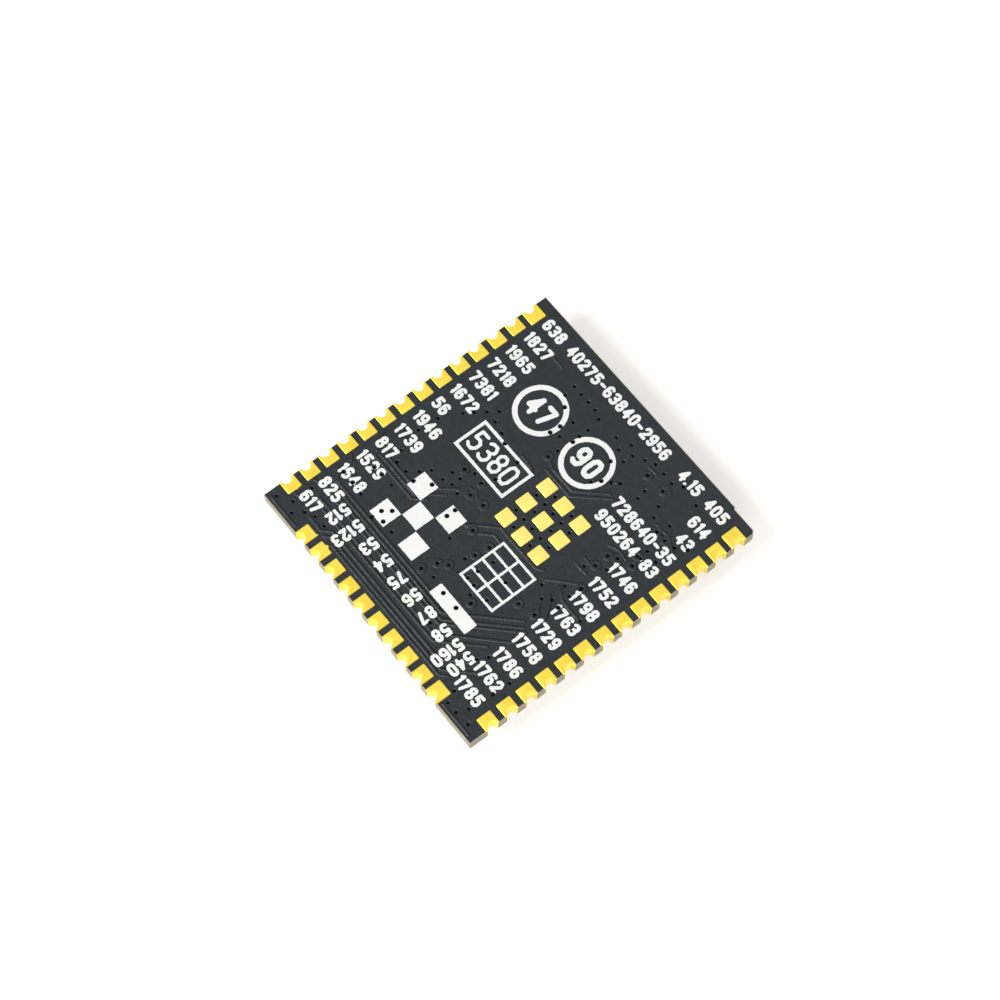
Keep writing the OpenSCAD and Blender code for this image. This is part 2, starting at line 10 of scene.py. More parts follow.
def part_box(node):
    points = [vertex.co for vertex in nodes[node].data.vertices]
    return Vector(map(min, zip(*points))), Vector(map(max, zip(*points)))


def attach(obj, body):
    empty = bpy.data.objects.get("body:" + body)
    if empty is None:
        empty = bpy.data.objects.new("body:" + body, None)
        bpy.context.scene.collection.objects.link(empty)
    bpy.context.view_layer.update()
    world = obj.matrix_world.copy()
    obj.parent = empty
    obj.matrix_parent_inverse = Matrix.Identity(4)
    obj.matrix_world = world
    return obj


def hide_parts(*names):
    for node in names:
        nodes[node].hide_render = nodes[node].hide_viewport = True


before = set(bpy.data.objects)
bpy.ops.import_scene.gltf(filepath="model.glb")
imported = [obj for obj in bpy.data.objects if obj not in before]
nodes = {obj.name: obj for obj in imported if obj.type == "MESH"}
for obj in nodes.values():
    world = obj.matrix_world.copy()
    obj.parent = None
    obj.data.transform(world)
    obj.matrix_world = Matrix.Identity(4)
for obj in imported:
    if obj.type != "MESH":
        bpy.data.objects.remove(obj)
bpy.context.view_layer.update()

# ---- Laminate core ----
# Glass cloth pressed with epoxy resin into one stiff sheet and routed to size. Every other
# piece of the board is plated or printed on it, so its size sets theirs.

MM = 0.001
core_low, core_high = (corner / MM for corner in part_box("board_core"))
EDGE_X, EDGE_Y = core_high.x, core_high.y
CORE_TOP, CORE_FOOT = core_high.z, core_low.z


def linear(colour):
    """An sRGB hex colour as the linear colour that a shader takes."""
    parts = [int(colour[i:i + 2], 16) / 255 for i in (1, 3, 5)]
    return tuple(c / 12.92 if c <= 0.04045 else ((c + 0.055) / 1.055) ** 2.4
                 for c in parts) + (1.0,)


def add(tree, kind, settings=None, links=None):
    """Adds a shader node with its settings, and joins other nodes' outputs to its sockets."""
    made = tree.nodes.new("ShaderNode" + kind)
    for key, value in (settings or {}).items():
        if isinstance(key, str) and hasattr(made, key):
            setattr(made, key, value)
        else:
            made.inputs[key].default_value = value
    for key, source in (links or {}).items():
        tree.links.new(source.outputs[0] if hasattr(source, "outputs") else source,
                       made.inputs[key])
    return made


def finish_of(name, pale, deep, grain, rough, relief_um, metallic=0.0, stretch=(1, 1, 1),
              level=0.5, fine=8.0):
    """A material that varies in colour, gloss and relief.

    Its clouds are about grain mm wide, and its gloss breaks up fine times smaller. The relief
    holds both and stands relief_um thousandths of a mm high.
    """
    made = bpy.data.materials.new(name)
    made.use_nodes = True
    tree = made.node_tree
    surface = tree.nodes["Principled BSDF"]
    place = add(tree, "TexCoord")
    mm = add(tree, "Mapping", {"Scale": tuple(s / (MM * grain) for s in stretch)},
             {"Vector": place.outputs["Object"]})
    broad = add(tree, "TexNoise", {"Scale": 1.0, "Detail": 3.0, "Roughness": 0.55},
                {"Vector": mm})
    small = add(tree, "TexNoise", {"Scale": fine, "Detail": 2.0, "Roughness": 0.6},
                {"Vector": mm})
    shade = add(tree, "Mix", {"data_type": "RGBA", 6: linear(pale), 7: linear(deep)},
                {0: broad.outputs["Fac"]})
    gloss = add(tree, "MapRange", {"To Min": rough[0], "To Max": rough[1]},
                {"Value": small.outputs["Fac"]})
    both = add(tree, "Math", {"operation": "ADD"},
               {0: broad.outputs["Fac"], 1: small.outputs["Fac"]})
    bump = add(tree, "Bump", {"Strength": 1.0, "Distance": relief_um * 1e-6}, {"Height": both})
    surface.inputs["Metallic"].default_value = metallic
    surface.inputs["Specular IOR Level"].default_value = level
    tree.links.new(shade.outputs[2], surface.inputs["Base Color"])
    tree.links.new(gloss.outputs[0], surface.inputs["Roughness"])
    tree.links.new(bump.outputs[0], surface.inputs["Normal"])
    return made


# Woven glass in epoxy, routed: cloudy straw-grey, dull, with plies of about 0.07 mm as level
# streaks.
glass_epoxy_routed = finish_of("glass_epoxy_routed", "#b9b4a2", "#8a8473", 0.8,
                               (0.55, 0.8), 14, stretch=(1, 1, 12), fine=3.0)


def dress(name, material):
    """Gives a part of the frame its finish."""
    node = nodes[name]
    node.data.materials.clear()
    node.data.materials.append(material)


dress("board_core", glass_epoxy_routed)

# ---- Castellated pads ----
# Copper plated onto both faces and through a row of drilled holes, which the router then cut
# in half: each pad is a land, a half-round barrel and a smaller land on the part side. All of
# it is finished in gold over nickel.

PITCH, FIRST_PAD = 1.27, 1.5
SIDE_COUNT, END_COUNT = 14, 10
PAD_W, PAD_L = 0.9, 0.84
BIG_PAD_W, BIG_PAD_L = 1.0, 0.94
BACK_PAD_L = 0.6
NOTCH_R, PLATE = 0.3, 0.05
PAD_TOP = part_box("right_pads")[1].z / MM
PAD_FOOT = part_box("right_pads")[0].z / MM
PAD_CORNER, LEAST_CORNER = 0.06, 0.012
PAD_RIM, RIM_TURN = 0.045, (0, 30, 60, 90)
SHARP_FROM = 35

# Gold over nickel as the plating bath leaves it: satin, a little cloudy, deep yellow.
immersion_gold = finish_of("immersion_gold", "#faea6a", "#f3cb38", 0.7, (0.3, 0.42), 1.6,
                           metallic=1.0, fine=10.0)


def solid(name, faces, material, stands_for=()):
    """One closed piece from faces given as rings of points in mm."""
    shape = bmesh.new()
    known = {}
    for face in faces:
        corners = []
        for point in face:
            key = tuple(round(c, 5) for c in point)
            if key not in known:
                known[key] = shape.verts.new([c * MM for c in key])
            if known[key] not in corners:
                corners.append(known[key])
        if len(corners) > 2:
            shape.faces.new(corners)
    bmesh.ops.recalc_face_normals(shape, faces=shape.faces)
    mesh = bpy.data.meshes.new(name)
    shape.to_mesh(mesh)
    shape.free()
    mesh.shade_smooth()
    mesh.set_sharp_from_angle(angle=math.radians(SHARP_FROM))
    return placed(name, mesh, [material], stands_for)


def placed(name, mesh, materials, stands_for=()):
    """Puts a mesh into the scene, riding on the module."""
    piece = bpy.data.objects.new(name, mesh)
    bpy.context.scene.collection.objects.link(piece)
    for material in materials:
        mesh.materials.append(material)
    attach(piece, "root")
    if stands_for:
        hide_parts(*stands_for)
    return piece


def arc(cx, cy, r, start, end, count):
    """Points along a circle's arc, both ends included, in degrees."""
    return [(cx + r * math.cos(math.radians(start + (end - start) * k / count)),
             cy + r * math.sin(math.radians(start + (end - start) * k / count)))
            for k in range(count + 1)]


def rolled_edge(r, turn):
    """A round edge as pairs of inset and drop, at each angle from the flat face to the side."""
    return [(r * (1 - math.sin(math.radians(a))), r * (1 - math.cos(math.radians(a))))
            for a in turn]


def land_path(width, depth, inset=0.0, end=0.0, necks=()):
    """Three sides of a land whose fourth lies on the board's edge, x pointing off the board."""
    y, x, r = width / 2 - inset, -depth + inset, max(PAD_CORNER - inset, LEAST_CORNER)
    path = [(end, y)] + arc(x + r, y - r, r, 90, 180, 3)
    for middle, half, out in sorted(necks, reverse=True):
        path += [(x, middle + half), (x - out, middle + half * 0.5),
                 (x - out, middle - half * 0.5), (x, middle - half)]
    return path + arc(x + r, -y + r, r, 180, 270, 3) + [(end, -y)]


def castellation(width, depth, necks):
    """Faces of one plated pad in its own place, as rings of points."""
    drill = NOTCH_R + PLATE
    lip = [(drill + PLATE, 0.0)]
    lip += [(NOTCH_R + inset, down) for inset, down in rolled_edge(PLATE, (0, 22, 45, 67, 90))]
    upper = [(r, PAD_TOP - down) for r, down in lip]
    lower = [(r, PAD_FOOT + down) for r, down in reversed(lip)]
    faces = []

    def ring(r, z):
        return [(x, y, z) for x, y in arc(0, 0, r, 270, 90, 18)]

    def strip(a, b):
        faces.extend([a[i], a[i + 1], b[i + 1], b[i]] for i in range(len(a) - 1))

    wall = [ring(r, z) for r, z in upper + lower]
    for a, b in zip(wall, wall[1:]):
        strip(a, b)
    sides = {}
    for top, length, marks in ((True, depth, necks), (False, BACK_PAD_L, ())):
        face = PAD_TOP if top else PAD_FOOT
        step = -1 if top else 1
        seat = CORE_TOP if top else CORE_FOOT
        rings = [[(x, y, face + step * down) for x, y in
                  land_path(width, length, inset, necks=marks)]
                 for inset, down in rolled_edge(PAD_RIM, RIM_TURN)]
        rings.append([(x, y, seat) for x, y in land_path(width, length, necks=marks)])
        for a, b in zip(rings, rings[1:]):
            strip(a, b)
        rings.reverse()
        sides[top] = rings
        faces.append(rings[-1] + ring(drill + PLATE, face))
        faces.append(rings[0] + ring(drill, seat))
    strip(ring(drill, CORE_TOP), ring(drill, CORE_FOOT))
    for end in (0, -1):
        side = 1 if end == 0 else -1
        section = [path[end] for path in sides[True]]
        section += [(0.0, side * r, z) for r, z in upper + lower]
        section += [path[end] for path in reversed(sides[False])]
        section += [(0.0, side * drill, CORE_FOOT), (0.0, side * drill, CORE_TOP)]
        faces.append(section)
    return faces


# Where a track joins a pad, a short neck of copper shows at the pad's inner end: each is its
# middle, its half width and its reach
NECKS = {("end_pads", 0): [(0.4, 0.05, 0.06)], ("end_pads", 1): [(0.0, 0.13, 0.09)],
         ("left_pads", 0): [(-0.12, 0.1, 0.03)]}
# Each place is (row, index, x, y, turn), the turn taking +X to the way off the board
pad_places = [("right_pads", i, EDGE_X, -EDGE_Y + FIRST_PAD + i * PITCH, 0)
              for i in range(SIDE_COUNT)]
pad_places += [("left_pads", i, -EDGE_X, -EDGE_Y + FIRST_PAD + i * PITCH, 180)
               for i in range(SIDE_COUNT)]
pad_places += [("end_pads", i, (i - (END_COUNT - 1) / 2) * PITCH, -EDGE_Y, -90)
               for i in range(END_COUNT)]


def pad_size(row, index):
    """Width and depth of a pad; the last of each row is a larger ground pad."""
    last = (END_COUNT if row == "end_pads" else SIDE_COUNT) - 1
    return (BIG_PAD_W, BIG_PAD_L) if index == last else (PAD_W, PAD_L)


def turned(points, x, y, degrees):
    """Points turned about Z and moved to a place."""
    c, s = math.cos(math.radians(degrees)), math.sin(math.radians(degrees))
    return [(x + p[0] * c - p[1] * s, y + p[0] * s + p[1] * c, *p[2:]) for p in points]


for row in ("right_pads", "left_pads", "end_pads"):
    row_faces = []
    for name, index, x, y, turn in pad_places:
        if name == row:
            width, depth = pad_size(name, index)
            made = castellation(width, depth, NECKS.get((name, index), ()))
            row_faces += [turned(face, x, y, turn) for face in made]
    solid("plated_" + row, row_faces, immersion_gold, [row])

# ---- Ground pads ----
# Nine square lands of the same plated copper, etched in the middle of the pad side. They
# carry the chip's heat into the carrier board through the vias between them.

GROUND_SIDE, GROUND_PITCH, GROUND_CORNER = 0.9, 1.4, 0.08
ground_low, ground_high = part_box("ground_pads")
GROUND_X = (ground_low.x + ground_high.x) / 2 / MM
GROUND_Y = (ground_low.y + ground_high.y) / 2 / MM

# The same gold on a flat open land, painted paler as a painted reflection, since nothing beside
# it is mirrored in it.
painted_pale_gold = finish_of("immersion_gold_painted_paler", "#fcee93", "#fae26a", 0.9, (0.36, 0.48), 1.2,
                      metallic=1.0, fine=10.0)


def rounded(cx, cy, w, h, r):
    """Outline of a rectangle with round corners."""
    points = []
    for k, (sx, sy) in enumerate(((1, 1), (-1, 1), (-1, -1), (1, -1))):
        points += arc(cx + sx * (w / 2 - r), cy + sy * (h / 2 - r), r, 90 * k, 90 * k + 90, 4)
    return points


def lofted(rings, closed):
    """Faces between rings of points, closed on themselves or capped at both ends."""
    faces = []
    pairs = list(zip(rings, rings[1:])) + ([(rings[-1], rings[0])] if closed else [])
    for a, b in pairs:
        faces += [[a[i], a[(i + 1) % len(a)], b[(i + 1) % len(a)], b[i]] for i in range(len(a))]
    return faces if closed else faces + [rings[0], rings[-1]]


ground_places = [(GROUND_X + i * GROUND_PITCH, GROUND_Y + j * GROUND_PITCH)
                 for i in (-1, 0, 1) for j in (-1, 0, 1)]
ground_faces = []
for x, y in ground_places:
    rings = []
    for inset, down in rolled_edge(PAD_RIM, RIM_TURN):
        side = GROUND_SIDE - 2 * inset
        rings.append([(*p, PAD_TOP - down)
                      for p in rounded(x, y, side, side, GROUND_CORNER - inset)])
    rings.append([(p[0], p[1], CORE_TOP) for p in rings[-1]])
    ground_faces += lofted(rings, False)
solid("plated_ground_pads", ground_faces, painted_pale_gold, ["ground_pads"])

# ---- Thermal vias ----
# Holes drilled between the ground pads and plated with copper, which take the chip's heat
# through the board. The mask closes over their mouths.

# Electroplated copper: reddish, matt from the bath.
plated_copper = finish_of("plated_copper", "#c98a55", "#a9683a", 0.3, (0.4, 0.6), 3,
                          metallic=1.0)
dress("thermal_vias", plated_copper)

# ---- Solder mask ----
# Black epoxy coated over both faces, hardened by light through a film and washed open over
# the pads. It follows the etched tracks under it as low ridges and sinks into every small via
# as a dark dimple.

MASK_BACK, MASK_GAP = 0.04, 0.012
MASK_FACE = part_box("pad_side_mask")[1].z / MM
STEP_DEEP, STEP_LONG, CORNER_CUT = 0.1, 1.7, 0.15
EDGE_ROLL, EDGE_DROP = 0.03, 0.012
OVERRUN = 0.3
TRACK, THIN_TRACK = 0.12, 0.1
RIDGE, SHOULDER = 0.019, 0.09
PIT_DEPTH, PIT_R = 0.027, 0.125
COLLAR_R = 0.28
# The relief is shaded this much steeper than it is, or it would be too faint to show
STEEPER = 2.3

# Cured black epoxy over copper and glass: satin, slate-black, mottled about as wide as the
# glass cloth's threads.
black_mask = finish_of("black_solder_mask", "#1f2a30", "#030506", 0.45, (0.22, 0.4), 30,
                       level=0.4, fine=4.0)
# Painted shade: the same epoxy made blacker on the shoulders of a track that face away from the
# key lamp.
painted_shade_mask = finish_of("solder_mask_painted_shade", "#07080a", "#040405", 1.1, (0.28, 0.38), 20,
                        level=0.15, fine=4.0)
# The same epoxy down in a hole, painted near black as shade, since hardly any light reaches it.
mask_in_hole = finish_of("mask_in_hole", "#050506", "#020203", 0.2, (0.8, 0.95), 2, level=0.05)

# Etched tracks that show through the mask: each is its width and its corners
tracks = [
    (TRACK, [(-6.5, -3.02), (-4.3, -3.02), (-2.75, -1.25)]),
    (TRACK, [(-7.0, -3.28), (-4.05, -3.28), (-2.9, -2.0)]),
    (TRACK, [(-7.0, -3.55), (-3.9, -3.55), (-3.3, -2.9)]),
    (TRACK, [(-7.7, -5.5), (-7.2, -6.03), (0.95, -6.03)]),
    (TRACK, [(-6.5, -6.3), (2.3, -6.3), (5.4, -3.2)]),
    (TRACK, [(-6.5, -6.55), (2.6, -6.55), (5.7, -3.45)]),
    (TRACK, [(-6.5, -6.8), (2.7, -6.8), (5.95, -3.55)]),
    (TRACK, [(-7.0, -7.35), (3.0, -7.35), (6.2, -4.2)]),
    (TRACK, [(-7.0, -7.62), (3.3, -7.62), (5.3, -5.6)]),
    (TRACK, [(-6.5, -8.45), (-5.4, -8.45), (-4.95, -8.0), (4.3, -8.0), (5.6, -6.7)]),
    (TRACK, [(-5.05, -8.55), (-4.8, -8.28), (4.8, -8.28), (6.3, -6.8)]),
    (TRACK, [(-4.3, -8.52), (5.0, -8.52), (5.35, -8.2)]),
    (THIN_TRACK, [(-8.7, -9.36), (-6.45, -9.36)]),
    (THIN_TRACK, [(6.4, -9.36), (8.6, -9.36)]),
    (TRACK, [(-8.0, -8.22), (-7.5, -8.12)]),
    (TRACK, [(-8.0, -6.95), (-7.6, -6.8), (-7.0, -6.8)]),
    (TRACK, [(-8.0, -4.5), (-7.7, -4.7)]),
    (TRACK, [(-8.0, -2.3), (-7.85, -2.7), (-7.3, -3.28)]),
    (TRACK, [(-0.8, -2.1), (0.4, -0.88), (3.4, -0.88), (3.8, -0.6)]),
    (TRACK, [(-1.3, -2.35), (-0.4, -2.12)]),
    (TRACK, [(0.0, -1.95), (0.5, -1.42), (1.2, -1.42)]),
    (TRACK, [(-0.8, 3.12), (1.25, 3.12), (2.8, 4.8)]),
    (TRACK, [(-1.3, 3.69), (-0.6, 3.42), (1.1, 3.42), (2.5, 4.9)]),
    (TRACK, [(2.0, 5.4), (2.37, 5.72)]),
    (TRACK, [(5.4, 5.7), (6.4, 5.75), (7.15, 5.35)]),
    (TRACK, [(4.75, 2.95), (5.26, 3.2), (5.95, 3.15)]),
    (TRACK, [(4.5, 0.96), (4.9, 0.96), (5.3, 1.0)]),
    (TRACK, [(4.55, 1.55), (5.0, 1.5)]),
    (TRACK, [(5.0, -0.55), (5.7, -0.92), (7.0, -0.95)]),
    (TRACK, [(5.1, -1.25), (5.6, -1.7), (6.0, -2.3)]),
    (TRACK, [(4.2, -0.9), (4.55, -0.55), (5.6, 0.4)]),
    (TRACK, [(5.2, -2.05), (5.5, -2.52)]),
    (TRACK, [(-5.9, 7.6), (-5.0, 7.6)]),
    (TRACK, [(2.6, 7.5), (3.1, 7.55)]),
    (TRACK, [(3.85, 7.4), (4.1, 7.55), (4.45, 7.4)]),
    (TRACK, [(-2.2, 2.62), (-1.3, 2.55), (-0.9, 2.2)]),
    (TRACK, [(-2.4, -0.7), (-2.0, -0.6), (-1.8, -0.75)]),
]

# Small vias, with neighbours listed together
plain_vias = [
    (-3.7, 7.4), (-3.1, 7.4), (-2.5, 7.4), (-1.9, 7.4), (-1.35, 7.2), (-3.6, 6.7),
    (0.1, 7.25), (0.75, 6.9), (0.95, 7.6), (1.5, 7.25), (1.45, 6.65), (2.1, 7.6),
    (2.65, 7.9), (3.35, 7.9), (4.05, 7.85), (5.85, 8.05), (4.6, 8.2),
    (3.5, 6.45), (4.65, 6.45), (3.6, 5.9), (2.35, 5.7), (2.0, 5.35), (5.0, 5.85), (5.9, 6.2),
    (-2.05, 6.0), (-1.2, 6.35), (-3.05, 6.2), (-2.3, 5.3), (-1.15, 5.25), (-1.2, 5.75),
    (-2.35, 4.65), (1.6, 5.0), (1.0, 6.1), (-1.25, 4.3), (-1.85, 4.9), (1.3, 4.55),
    (-5.05, 3.3), (-5.45, 2.75), (-4.7, 2.75), (-3.95, 2.6), (-3.35, 2.35), (-2.05, 2.15),
    (-5.85, 2.2), (-6.2, 1.7), (-6.8, 0.45), (-2.0, 0.65),
    (6.3, 4.35), (7.05, 4.3), (6.4, 3.8), (5.8, 2.0), (4.9, 1.2), (5.8, 0.2), (5.15, -0.3),
    (5.75, -0.5), (4.35, -1.2), (5.35, -1.3), (4.95, -1.7), (5.9, -1.35),
    (0.65, -3.45), (-0.05, -4.75), (0.45, -5.4), (2.85, -4.8), (2.45, -4.5),
    (1.75, -2.4), (3.05, -2.6), (1.65, -3.35), (1.6, -4.0), (2.15, -4.0), (3.25, -4.0),
    (-3.5, -0.25), (-2.95, 0.0), (-3.75, -0.9), (-3.2, -0.8), (-3.2, -1.35), (-3.75, -1.55),
    (-2.6, -1.45), (-4.55, -1.7), (-3.85, -2.2), (-4.9, -2.25), (-4.65, -2.85), (-5.35, -2.8),
    (-6.1, -2.85), (-1.9, -2.15), (-1.9, -2.7), (-0.8, -3.35), (-6.9, -0.8), (-6.5, -2.25),
    (-3.75, -5.55), (-3.0, -5.55), (-4.35, -5.85), (-4.3, -5.25), (-5.8, -5.5),
    (-3.95, -4.8), (-5.2, -3.9), (-6.0, -3.95), (-6.6, -5.45), (-7.4, -5.45), (-6.6, -4.0),
    (-8.5, -9.1), (-7.2, -9.05), (-7.7, -8.6), (-6.8, -8.5), (-6.25, -8.2), (-5.5, -8.15),
    (-7.7, -7.35), (1.5, -5.55), (2.58, -5.55), (5.85, -5.9), (5.55, -6.45), (7.65, -5.95),
    (6.2, -8.45), (7.45, -8.45), (6.5, -9.1), (7.2, -9.1), (8.1, -9.0), (2.4, -7.1),
    (7.6, -7.0), (7.05, 5.6), (7.6, 6.05), (7.2, -0.9),
]
# Vias that stand on a bare patch, so that the mask rises over the copper collar round them
collared_vias = [
    (2.88, 7.15), (4.1, 7.2), (-1.3, 3.69), (6.4, 5.45), (5.75, 5.45), (5.65, 2.85),
    (5.2, 2.55), (5.25, 1.7), (5.8, 0.3), (6.45, 3.2), (6.2, 3.75), (4.43, -2.82),
    (5.45, -2.55), (-1.2, -0.8), (-2.1, -0.95), (-3.5, -0.3), (-2.3, -0.1), (-0.4, -2.12),
    (0.95, -2.05), (0.82, -2.9), (-0.05, -4.75), (-0.36, -5.6), (2.85, -4.75), (0.4, -4.35),
]
thermal_places = [(GROUND_X + i * GROUND_PITCH / 2, GROUND_Y + j * GROUND_PITCH / 2)
                  for i in range(-2, 3) for j in range(-2, 3) if i % 2 or j % 2]
all_vias = np.array(plain_vias + collared_vias + thermal_places)


def board_outline(inset):
    """The board's outline drawn in, with the parting step at one corner."""
    x, y = EDGE_X - inset, EDGE_Y - inset
    low, start = y - STEP_DEEP, EDGE_X - STEP_LONG
    return [(-x, -y), (x, -y), (x, low - CORNER_CUT), (x - CORNER_CUT, low), (start, low),
            (start - STEP_DEEP, y), (-x, y)]


def opening(row, index, x, y, turn, grow):
    """Outline of a pad's opening in the mask, running off the board's edge."""
    width, depth = pad_size(row, index)
    path = land_path(width, depth, -grow, end=OVERRUN, necks=NECKS.get((row, index), ()))
    return turned(path, x, y, turn)


def disc(x, y, r, sides):
    """Outline of a round hole or spot."""
    return arc(x, y, r, 0, 360 - 360 / sides, sides - 1)


def capsule(a, b, r, count=6):
    """Outline of a straight stroke with round ends."""
    way = math.degrees(math.atan2(b[1] - a[1], b[0] - a[0]))
    return arc(*b, r, way - 90, way + 90, count) + arc(*a, r, way + 90, way + 270, count)


def cut_plane(outlines, stays):
    """Cuts the plane along all the outlines into triangles and keeps those that stay."""
    points, rings = [], []
    for outline in outlines:
        rings.append(list(range(len(points), len(points) + len(outline))))
        points += [Vector(p) for p in outline]
    flat, _, faces, _, _, owners = delaunay_2d_cdt(points, [], rings, 1, 1e-5)
    kept = [f for f, o in zip(faces, owners) if stays(set(o))]
    used = {old: new for new, old in enumerate(sorted({i for f in kept for i in f}))}
    return np.array([tuple(flat[i]) for i in used]), [[used[i] for i in f] for f in kept]


def step_down(t):
    """1 inside, 0 outside, and a smooth shoulder between."""
    return 0.5 + 0.5 * np.cos(np.pi * np.clip(t + 0.5, 0, 1))


def mask_relief(p):
    """Height of the mask over its plain level, and depth of the dimples, at each place."""
    raised = np.zeros(len(p))
    for width, line in tracks:
        for a, b in zip(np.array(line), np.array(line)[1:]):
            t = np.clip((p - a) @ (b - a) / ((b - a) @ (b - a)), 0, 1)
            gap = np.linalg.norm(p - a - t[:, None] * (b - a), axis=1)
            raised = np.maximum(raised, step_down((gap - width / 2) / SHOULDER))
    for centre in collared_vias:
        gap = np.linalg.norm(p - centre, axis=1)
        raised = np.maximum(raised, step_down((gap - COLLAR_R) / SHOULDER))
    pit = np.zeros(len(p))
    for centre in all_vias:
        gap = np.linalg.norm(p - centre, axis=1)
        pit = np.maximum(pit, step_down((gap - PIT_R * 0.75) / PIT_R))
    return RIDGE * raised - (PIT_DEPTH + RIDGE * raised * 0.5) * pit, pit, raised


mask_outlines = [board_outline(MASK_BACK)]
mask_outlines += [opening(*place, MASK_GAP) for place in pad_places]
mask_outlines += [rounded(x, y, GROUND_SIDE + 2 * MASK_GAP, GROUND_SIDE + 2 * MASK_GAP,
                          GROUND_CORNER + MASK_GAP) for x, y in ground_places]
last_opening = len(mask_outlines)
mask_outlines.append(board_outline(MASK_BACK + EDGE_ROLL))
mask_outlines += [opening(*place, MASK_GAP + EDGE_ROLL) for place in pad_places]
for width, line in tracks:
    for a, b in zip(line, line[1:]):
        mask_outlines += [capsule(a, b, width / 2 + k * SHOULDER / 2) for k in (-1, 0, 1)]
for x, y in collared_vias:
    mask_outlines += [disc(x, y, COLLAR_R + k * SHOULDER / 2, 24) for k in (-1, 0, 1)]
for x, y in all_vias:
    mask_outlines += [disc(x, y, PIT_R * k, 12) for k in (0.25, 0.5, 0.75, 1.0, 1.25)]
mask_points, mask_faces = cut_plane(
    mask_outlines, lambda owners: 0 in owners and not any(0 < o < last_opening for o in owners))

mask_rise = mask_relief(mask_points)[0]
PROBE = 0.004
slope = np.array([(mask_relief(mask_points + np.array(d) * PROBE)[0]
                   - mask_relief(mask_points - np.array(d) * PROBE)[0]) / (2 * PROBE)
                  for d in ((1, 0), (0, 1))]).T


def slab(name, points, faces, heights, foot, slopes=None, finishes=None):
    """A closed plate: its upper face has these heights and slopes, its foot is flat."""
    count = len(points)
    places = [(x * MM, y * MM, z * MM) for (x, y), z in zip(points, heights)]
    places += [(x * MM, y * MM, foot * MM) for x, y in points]
    ways = {(f[i], f[(i + 1) % 3]) for f in faces for i in range(3)}
    rim = [(a, b) for a, b in ways if (b, a) not in ways]
    all_faces = [tuple(f) for f in faces] + [tuple(i + count for i in reversed(f)) for f in faces]
    all_faces += [(b, a, a + count, b + count) for a, b in sorted(rim)]
    mesh = bpy.data.meshes.new(name)
    mesh.from_pydata(places, [], all_faces)
    for i, index in enumerate(finishes or ()):
        mesh.polygons[i].material_index = index
    if slopes is not None:
        up = [Vector((-sx * STEEPER, -sy * STEEPER, 1)).normalized() for sx, sy in slopes]
        normals = [up[j] for f in faces for j in f]
        for i in range(len(faces), len(all_faces)):
            normals += [mesh.polygons[i].normal.copy()] * len(all_faces[i])
        mesh.normals_split_custom_set(normals)
    return mesh


edge_ways = {(f[i], f[(i + 1) % 3]) for f in mask_faces for i in range(3)}
mask_edge = {i for a, b in edge_ways if (b, a) not in edge_ways for i in (a, b)}
mask_heights = [MASK_FACE + z - (EDGE_DROP if i in mask_edge else 0)
                for i, z in enumerate(mask_rise)]
# Painted shade on the shoulders that fall towards +Y, away from the key lamp, between these
# shares of the ridge's height, and less far up a round collar; a hole is painted dark from this
# share of its depth
PAINTED_SHADE_FROM, PAINTED_SHADE_TO, COLLAR_PAINTED_SHADE_TO, HOLE_FROM, AHEAD = 0.03, 0.7, 0.4, 0.55, 0.02
centres = mask_points[np.array(mask_faces)].mean(axis=1)
_, sunk, raised = mask_relief(centres)
ahead = mask_relief(centres + (0, AHEAD))[2]
off_collar = np.min([np.linalg.norm(centres - c, axis=1) for c in collared_vias], axis=0)
painted_shade_to = np.where(off_collar > COLLAR_R + SHOULDER, PAINTED_SHADE_TO, COLLAR_PAINTED_SHADE_TO)
# Faces on shoulders falling towards +Y take the painted shade; deep pit faces take the painted
# dark
in_painted_shade = (PAINTED_SHADE_FROM < raised) & (raised < painted_shade_to) & (ahead < raised)
mask_finish = [1 if hole > HOLE_FROM else 2 if dark else 0 for hole, dark in zip(sunk, in_painted_shade)]
mask_mesh = slab("pad_side_solder_mask", mask_points, mask_faces, mask_heights, CORE_TOP,
                 slope, mask_finish)
placed("pad_side_solder_mask", mask_mesh, [black_mask, mask_in_hole, painted_shade_mask],
       ["pad_side_mask"])
dress("part_side_mask", black_mask)

# ---- Printed legend ----
# White epoxy ink screened onto the mask as a thin film: plain numbers beside the pads, two
# rings, a code frame, a check pattern, a ruled table and a bar. Vias stay open in the ink.

INK_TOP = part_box("legend_ink")[1].z / MM
INK_SUNK = 0.012
STROKE, GLYPH_UNIT, GLYPH_GAP = 0.18, 0.15, 0.06
EDGE_PART, WAVER, WAVES_PER_MM = 0.09, 0.02, 8

# Screened white epoxy: chalky, with a faint unevenness where the mesh lifted.
white_ink = finish_of("white_legend_ink", "#f2f4f4", "#e6eaec", 0.7, (0.5, 0.65), 2.5,
                      level=0.4, fine=10.0)

